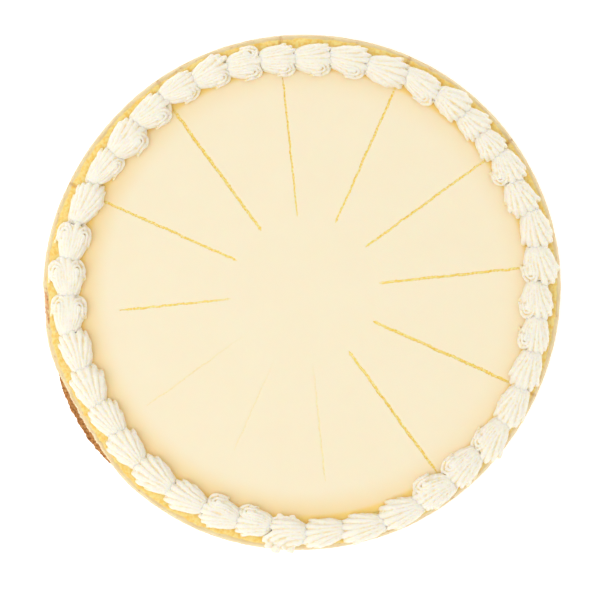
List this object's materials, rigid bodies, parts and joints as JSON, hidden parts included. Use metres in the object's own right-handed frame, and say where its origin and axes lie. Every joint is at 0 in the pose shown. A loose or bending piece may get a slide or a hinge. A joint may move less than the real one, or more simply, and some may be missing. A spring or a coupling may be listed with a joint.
{
  "type": "cheesecake",
  "caption": "Whole round cheesecake on a crumb base, with a golden rim, a pale cream top scored for slicing and a ring of piped whipped-cream shells",
  "frame": {"origin": "middle of the underside of the crumb base, on the surface the cake rests on", "axes": "+Z up through the cake; +X and +Y in the plane of the underside, +X to the right and +Y upward in a view from above with the odd closing shell toward -Y"},
  "size_m": [0.2409, 0.2409, 0.0538],
  "materials": {
    "crumb_base": "pressed golden-brown biscuit crumb, rough",
    "baked_filling": "baked cream cheese, satin, golden on top and pale at the side",
    "cream_topping": "smooth pale cream layer, satin",
    "whipped_cream": "piped whipped cream, soft satin"
  },
  "bodies": {
    "root": {"crust": "crumb_base", "filling": "baked_filling", "topping": "cream_topping", "shell_01": "whipped_cream", "shell_02": "whipped_cream", "shell_03": "whipped_cream", "shell_04": "whipped_cream", "shell_05": "whipped_cream", "shell_06": "whipped_cream", "shell_07": "whipped_cream", "shell_08": "whipped_cream", "shell_09": "whipped_cream", "shell_10": "whipped_cream", "shell_11": "whipped_cream", "shell_12": "whipped_cream", "shell_13": "whipped_cream", "shell_14": "whipped_cream", "shell_15": "whipped_cream", "shell_16": "whipped_cream", "shell_17": "whipped_cream", "shell_18": "whipped_cream", "shell_19": "whipped_cream", "shell_20": "whipped_cream", "shell_21": "whipped_cream", "shell_22": "whipped_cream", "shell_23": "whipped_cream", "shell_24": "whipped_cream", "shell_25": "whipped_cream", "shell_26": "whipped_cream", "shell_27": "whipped_cream", "shell_28": "whipped_cream", "shell_29": "whipped_cream", "shell_30": "whipped_cream", "shell_31": "whipped_cream", "shell_32": "whipped_cream", "shell_33": "whipped_cream", "shell_34": "whipped_cream", "shell_35": "whipped_cream", "shell_36": "whipped_cream", "shell_37": "whipped_cream", "shell_38": "whipped_cream", "shell_39": "whipped_cream", "shell_40": "whipped_cream", "shell_41": "whipped_cream"}
  },
  "joints": []
}
